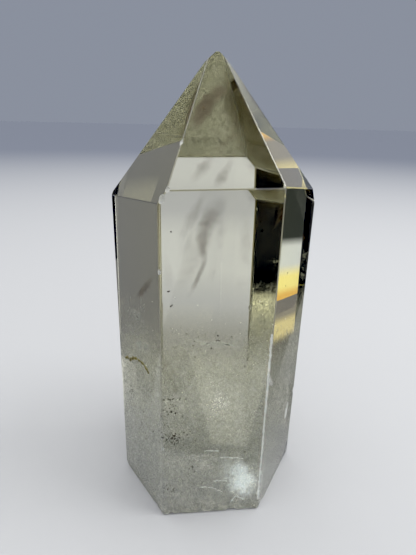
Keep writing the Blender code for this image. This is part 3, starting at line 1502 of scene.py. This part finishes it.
@dataclass
class Cracks:
    """Open white cracks near the foot, a painted highlight along the front right edge and fine hairs under
    the left face.
    """

    seed: int = 14
    lumps: float = 0.4
    splits: tuple[Split, ...] = (
        Split((-3.7, -21.4, 21.9), (-0.1, -21.4, 21.6)),
        Split((0.5, -21.2, 19.3), (6.9, -21.2, 18.5)),
        Split((-1.2, -21.2, 11.0), (3.0, -21.2, 10.8)),
        Split((-4.8, -21.2, 9.1), (-1.4, -21.2, 8.6)),
        Split((-1.4, -21.2, 8.6), (1.5, -21.2, 6.9)),
        Split((4.2, -21.4, 3.0), (5.6, -21.4, 5.0)),
        Split((5.6, -21.4, 5.0), (8.2, -21.4, 3.4)),
    )
    # painted highlight: a row of glowing white lenses along the front right edge paints the bright line of
    # light on that edge
    highlight_row: Split = Split(
        (12.0, -22.05, 4.0), (12.0, -22.05, 57.0), links=76, jitter=0.03, overlap=0.4,
        widths=(0.4, 0.75), width_scale=1.0, normal=outward(28.0), thickness=0.03,
    )
    hairs: HairFan = HairFan()

    def build(self) -> list[bpy.types.Object]:
        """Builds the cracks, the painted edge highlight and the hairs, each as one mesh.

        Returns:
            Their objects.
        """
        rng = np.random.default_rng(self.seed)
        cracks = [lens for split in self.splits for lens in split.lenses(rng)]
        groups = (
            ("white_cracks", cracks, OPEN_CRACK.material()),
            ("painted_edge_highlight", self.highlight_row.lenses(rng), OPEN_CRACK.material()),
            ("hair_cracks", self.hairs.lenses(rng), HAIR.material()),
        )
        built = []
        for name, lenses, material in groups:
            places, turns, sizes = (np.array(column) for column in zip(*(lens.frame() for lens in lenses)))
            piece = Pattern.grain(lumps=self.lumps).copies(name, places, turns, sizes)
            piece.data.materials.append(material)
            built.append(piece)
        return built


@dataclass
class IronStain:
    """The worm-shaped yellow-green stain under the left face: a chain of lumpy beads."""

    seed: int = 21
    beads: int = 54
    bead_look: int = 9
    lumps: float = 0.5
    size: float = 0.3
    size_spread: float = 0.3
    size_range: tuple[float, float] = (0.7, 1.3)
    sharpest: float = 1.3
    jitter: float = 0.19
    skin: float = 0.6
    line: tuple[Place, ...] = (
        (-24.9, -4.4, 41.5), (-23.4, -7.0, 42.2), (-22.3, -8.9, 43.9), (-20.2, -12.5, 45.0),
        (-18.7, -15.2, 44.6), (-18.1, -16.2, 43.8),
    )

    def build(self, space: CrystalSpace) -> bpy.types.Object:
        """Builds the stain as one mesh.

        Args:
            space: The room inside the crystal.

        Returns:
            The stain.
        """
        rng = np.random.default_rng(self.seed)
        stops = np.array(self.line)
        share = np.linspace(0.0, len(stops) - 1.0, self.beads)
        places = np.stack([np.interp(share, range(len(stops)), stops[:, axis]) for axis in range(3)], axis=1)
        places = space.pull_inside(places + rng.normal(0.0, self.jitter, places.shape), self.skin)
        sizes = self.size * rng.lognormal(0.0, self.size_spread, (self.beads, 1))
        sizes = sizes * rng.uniform(*self.size_range, (self.beads, 3))
        sizes = np.minimum(sizes, self.skin / self.sharpest)
        turns = any_turns(rng, self.beads)
        bead = Pattern.grain(seed=self.bead_look, lumps=self.lumps)
        stain = bead.copies("iron_stain", places, turns, sizes)
        stain.data.materials.append(IRON.material())
        return stain


def show_to_glass_only(prop: bpy.types.Object) -> None:
    """Hides a studio piece from all but the crystal, and keeps its light and shadow off the floor.

    Args:
        prop: The piece.
    """
    prop.visible_camera = False
    prop.visible_diffuse = False
    prop.visible_shadow = False


@dataclass(frozen=True)
class GlassCard:
    """A matt studio card that only the glass sees, as flags and reflectors are used to shape crystal.

    It lies on the floor, in line with the crystal, and has a width at its near end and one at its far
    end. Its colours are stops of distance from the crystal's middle, in millimetres, near end first.
    """

    name: str
    azimuth: float
    widths: tuple[float, float]
    stops: tuple[tuple[float, Colour], ...]
    height: float = 0.5

    def material(self, near: float, far: float) -> bpy.types.Material:
        """Builds the card's matt colour, which runs from stop to stop.

        Args:
            near: Distance of the near end.
            far: Distance of the far end.

        Returns:
            The material.
        """
        material, board, shader = Board.matt_paint(self.name)
        place = board.lay("ShaderNodeTexCoord")
        along = board.lay("ShaderNodeVectorMath", {1: outward(self.azimuth)})
        along.operation = "DOT_PRODUCT"
        share = board.lay("ShaderNodeMapRange", {"From Min": near * MM, "From Max": far * MM})
        ramp = board.lay("ShaderNodeValToRGB")
        colours = ramp.color_ramp.elements
        while len(colours) < len(self.stops):
            colours.new(0.5)
        for element, (distance, colour) in zip(colours, self.stops):
            element.position = (distance - near) / (far - near)
            element.color = (*colour, 1.0)
        board.join(place, "Object", along, 0)
        board.join(along, "Value", share, "Value")
        board.join(share, "Result", ramp, "Fac")
        board.join(ramp, "Color", shader, "Base Color")
        return material

    def build(self) -> bpy.types.Object:
        """Builds the card.

        Returns:
            The card.
        """
        near = self.stops[0][0]
        far = self.stops[-1][0]
        middle = outward(self.azimuth) * (near + far) / 2 * MM
        Bench.clear()
        bpy.ops.mesh.primitive_plane_add(size=1.0, location=(middle.x, middle.y, self.height * MM))
        bpy.context.object.rotation_euler.z = radians(self.azimuth)
        bpy.context.object.scale = (1.0, (far - near) * MM, 1.0)
        points = Bench.read_points(bpy.context.object)
        near_width, far_width = self.widths
        points[:, 0] *= np.where(points[:, 1] > 0.0, near_width, far_width) * MM
        Bench.write_points(bpy.context.object, points)
        card = Bench.finish_primitive(self.name)
        card.data.materials.append(self.material(near, far))
        show_to_glass_only(card)
        return card


@dataclass(frozen=True)
class HungFlag:
    """A black matt disc hung in the room, which only the glass sees, so that a point face mirrors dark."""

    name: str
    azimuth: float
    lift: float
    reach: float
    radius: float
    shade: float = 0.01
    aim_height: float = 0.1

    def build(self) -> bpy.types.Object:
        """Builds the disc, square to the line to the crystal.

        Returns:
            The disc.
        """
        towards = outward(self.azimuth, self.lift)
        Bench.clear()
        bpy.ops.mesh.primitive_circle_add(vertices=64, radius=self.radius, fill_type="NGON")
        bpy.context.object.location = towards * self.reach + UPWARD * self.aim_height
        bpy.context.object.rotation_euler = towards.to_track_quat("Z", "Y").to_euler()
        disc = Bench.finish_primitive(self.name)
        material, board, shader = Board.matt_paint(self.name)
        board.set(shader, {"Base Color": (self.shade, self.shade, self.shade, 1.0)})
        disc.data.materials.append(material)
        show_to_glass_only(disc)
        return disc


@dataclass
class Studio:
    """Pale floor, soft light and the camera."""

    camera_place: Place = (-13.59, -110.24, 105.43)
    camera_turn: float = -6.215
    camera_pitch: float = 20.563
    camera_roll: float = 1.43
    lens: float = 26.96
    film: float = 36.0
    nearest: float = 0.01
    black_point: Colour = (0.020, 0.020, 0.013)
    floor_radius: float = 12.0
    floor_drop: float = 0.1
    floor_fade: tuple[float, float] = (0.1, 1.6)
    floor_near: Colour = (0.44, 0.443, 0.45)
    floor_far: Colour = (0.185, 0.20, 0.238)
    sky_low: tuple[float, Colour] = (0.25, (0.27, 0.295, 0.35))
    sky_high: tuple[float, Colour] = (0.62, (1.62, 1.635, 1.65))
    light_height: float = 0.06
    hung_flags: tuple[HungFlag, ...] = (
        HungFlag("high_front_flag", azimuth=18.0, lift=58.0, reach=2.4, radius=1.25),
        HungFlag("back_left_hung_flag", azimuth=224.0, lift=26.0, reach=2.4, radius=1.05, shade=0.1),
    )

    def floor(self) -> bpy.types.Object:
        """Builds the pale floor.

        Returns:
            The floor.
        """
        Bench.clear()
        bpy.ops.mesh.primitive_circle_add(vertices=128, radius=self.floor_radius, fill_type="NGON")
        bpy.context.object.location.z = self.floor_drop * -MM
        floor = Bench.finish_primitive("pale_floor")
        material, board, shader = Board.matt_paint("pale_floor")
        place = board.lay("ShaderNodeTexCoord")
        reach = board.lay("ShaderNodeVectorMath")
        reach.operation = "LENGTH"
        near, far = self.floor_fade
        share = board.lay("ShaderNodeMapRange", {"From Min": near, "From Max": far})
        share.interpolation_type = "SMOOTHSTEP"
        mix = board.lay_colour_mix(self.floor_near, self.floor_far)
        board.join(place, "Object", reach, 0)
        board.join(reach, "Value", share, "Value")
        board.join(share, "Result", mix, 0)
        board.join(mix, 2, shader, "Base Color")
        floor.data.materials.append(material)
        return floor

    def sky(self) -> None:
        """A soft surround: cool near the floor, bright overhead."""
        world = bpy.data.worlds.new("soft_surround")
        bpy.context.scene.world = world
        world.use_nodes = True
        board = Board(world.node_tree)
        place = board.lay("ShaderNodeTexCoord")
        parts = board.lay("ShaderNodeSeparateXYZ")
        ramp = board.lay("ShaderNodeValToRGB")
        for element, (height, colour) in zip(ramp.color_ramp.elements, (self.sky_low, self.sky_high)):
            element.position = height
            element.color = (*colour, 1.0)
        board.join(place, "Generated", parts, 0)
        board.join(parts, "Z", ramp, "Fac")
        board.join(ramp, "Color", board.nodes["Background"], "Color")

    def softbox(
        self, name: str, azimuth: float, lift: float, reach: float, size: float, watts: float
    ) -> None:
        """Hangs one soft square light that looks at the crystal.

        Args:
            name: The light's name.
            azimuth: Degrees from -Y towards +X.
            lift: Degrees above the horizontal.
            reach: Distance from the crystal's middle, in metres.
            size: Side of the square, in metres.
            watts: Power.
        """
        data = bpy.data.lights.new(name, "AREA")
        data.shape = "SQUARE"
        data.size = size
        data.energy = watts
        light = bpy.data.objects.new(name, data)
        light.location = outward(azimuth, lift) * reach + UPWARD * self.light_height
        light.rotation_euler = outward(azimuth, lift).to_track_quat("Z", "Y").to_euler()
        bpy.context.scene.collection.objects.link(light)

    def camera(self) -> None:
        """Sets the camera where the photograph was taken from."""
        data = bpy.data.cameras.new("camera")
        data.sensor_fit = "VERTICAL"
        data.sensor_height = self.film
        data.lens = self.lens
        data.clip_start = self.nearest
        item = bpy.data.objects.new("camera", data)
        bpy.context.scene.collection.objects.link(item)
        turn = Matrix.Rotation(radians(self.camera_turn), 4, "Z")
        pitch = Matrix.Rotation(radians(90.0 - self.camera_pitch), 4, "X")
        roll = Matrix.Rotation(radians(self.camera_roll), 4, "Z")
        item.matrix_world = Matrix.Translation(Vector(self.camera_place) * MM) @ turn @ pitch @ roll
        bpy.context.scene.camera = item

    def cards(self) -> tuple[GlassCard, ...]:
        """Lays out the flags and the reflectors that only the glass sees.

        Returns:
            The cards.
        """
        black = (0.004, 0.0045, 0.005)
        dim = (0.05, 0.05, 0.05)
        grey = (0.14, 0.14, 0.137)
        soft = (0.36, 0.36, 0.37)
        mid = (0.30, 0.305, 0.315)
        low = (0.21, 0.21, 0.20)
        pale = (0.75, 0.75, 0.72)
        bright = (0.38, 0.385, 0.385)
        painted_shadow_olive = (0.046, 0.050, 0.040)
        white = (0.57, 0.59, 0.57)
        yellow = (0.82, 0.72, 0.27)
        orange = (0.68, 0.42, 0.12)
        warm = (0.25, 0.23, 0.19)
        shade = (0.14, 0.135, 0.12)
        mauve = (0.18, 0.17, 0.155)
        cream = (0.60, 0.52, 0.28)
        lemon = (0.84, 0.83, 0.66)
        return (
            GlassCard(
                "front_right_flag", 17.0, widths=(80.0, 1100.0), stops=((42.0, black), (3000.0, black))
            ),
            GlassCard(
                "front_right_reflector", 9.0, widths=(12.0, 44.0), height=0.8,
                stops=((48.0, lemon), (96.0, lemon), (116.0, black)),
            ),
            GlassCard(
                "front_left_flag", 330.0, widths=(64.0, 1100.0), stops=((60.0, black), (3000.0, black))
            ),
            GlassCard("back_right_flag", 138.0, widths=(64.0, 110.0), stops=((56.0, grey), (900.0, grey))),
            GlassCard(
                "right_flag", 124.0, widths=(30.0, 460.0), height=0.4,
                stops=((36.0, grey), (60.0, dim), (90.0, black), (1400.0, black)),
            ),
            GlassCard(
                "right_near_flag", 102.0, widths=(36.0, 40.0), stops=((22.0, soft), (44.0, grey), (62.0, dim))
            ),
            GlassCard(
                "left_flag", 237.0, widths=(50.0, 420.0), height=0.4,
                stops=((46.0, mid), (70.0, grey), (130.0, black), (1400.0, black)),
            ),
            GlassCard(
                "back_reflector", 172.0, widths=(70.0, 620.0), height=0.3,
                stops=((25.0, pale), (44.0, pale), (66.0, low), (100.0, low), (140.0, mid), (200.0, bright),
                       (300.0, bright), (420.0, mid), (600.0, mid)),
            ),
            # painted caustic and shadow: cream to white paint a dispersed pool of light, and the olive far
            # end paints the crystal's cast shadow, both seen through the right face
            GlassCard(
                "caustic_and_shadow_card", 205.0, widths=(40.0, 200.0),
                stops=(
                    (50.0, shade), (88.0, shade), (96.0, cream), (110.0, cream), (119.0, warm), (137.0, warm),
                    (144.0, orange), (152.0, orange), (166.0, yellow), (186.0, yellow), (214.0, white),
                    (268.0, white), (300.0, painted_shadow_olive), (900.0, painted_shadow_olive),
                ),
            ),
            GlassCard(
                "mauve_flag", 199.1, widths=(14.0, 25.0), height=30.0, stops=((61.0, mauve), (75.5, mauve))
            ),
        )

    def build(self) -> list[bpy.types.Object]:
        """Builds the studio.

        Returns:
            Its floor, cards and discs.
        """
        scene = bpy.context.scene
        scene.view_settings.view_transform = "Standard"
        scene.view_settings.use_curve_mapping = True
        scene.view_settings.curve_mapping.black_level = self.black_point
        scene.view_settings.curve_mapping.update()
        scene.cycles.max_bounces = 32
        scene.cycles.diffuse_bounces = 12
        scene.cycles.transmission_bounces = 20
        scene.cycles.transparent_max_bounces = 64
        floor = self.floor()
        self.sky()
        self.softbox("key_softbox", azimuth=78.0, lift=48.0, reach=0.9, size=0.5, watts=4.0)
        props = [card.build() for card in (*self.cards(), *self.hung_flags)]
        self.camera()
        return [floor, *props]


def dress(piece: bpy.types.Object) -> None:
    """Hangs a piece on the part's one body."""
    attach(piece, BODY)


def main() -> None:
    """Builds the studio, the crystal and what lies inside it."""
    logging.basicConfig(level=logging.INFO, format="%(message)s")
    for prop in Studio().build():
        LOG.info("%s: studio", prop.name)
    space = CrystalSpace(SIDES)
    crystal = QuartzCrystal().build(space)
    dress(crystal)
    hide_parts(NODE)
    LOG.info("%s: %d faces", crystal.name, len(crystal.data.polygons))
    inside = MilkyCloud(space).build() + SmokyWisps().build(space) + HealedVeils().build(space)
    inside += [Specks().build(space), Sparkles().build(space), *Cracks().build(), IronStain().build(space)]
    for piece in inside:
        dress(piece)
        depth = space.depth(Bench.read_points(piece) / MM).min()
        LOG.info("%s: %d faces, %.2f mm under the faces", piece.name, len(piece.data.polygons), depth)


if __name__ == "__main__":
    main()
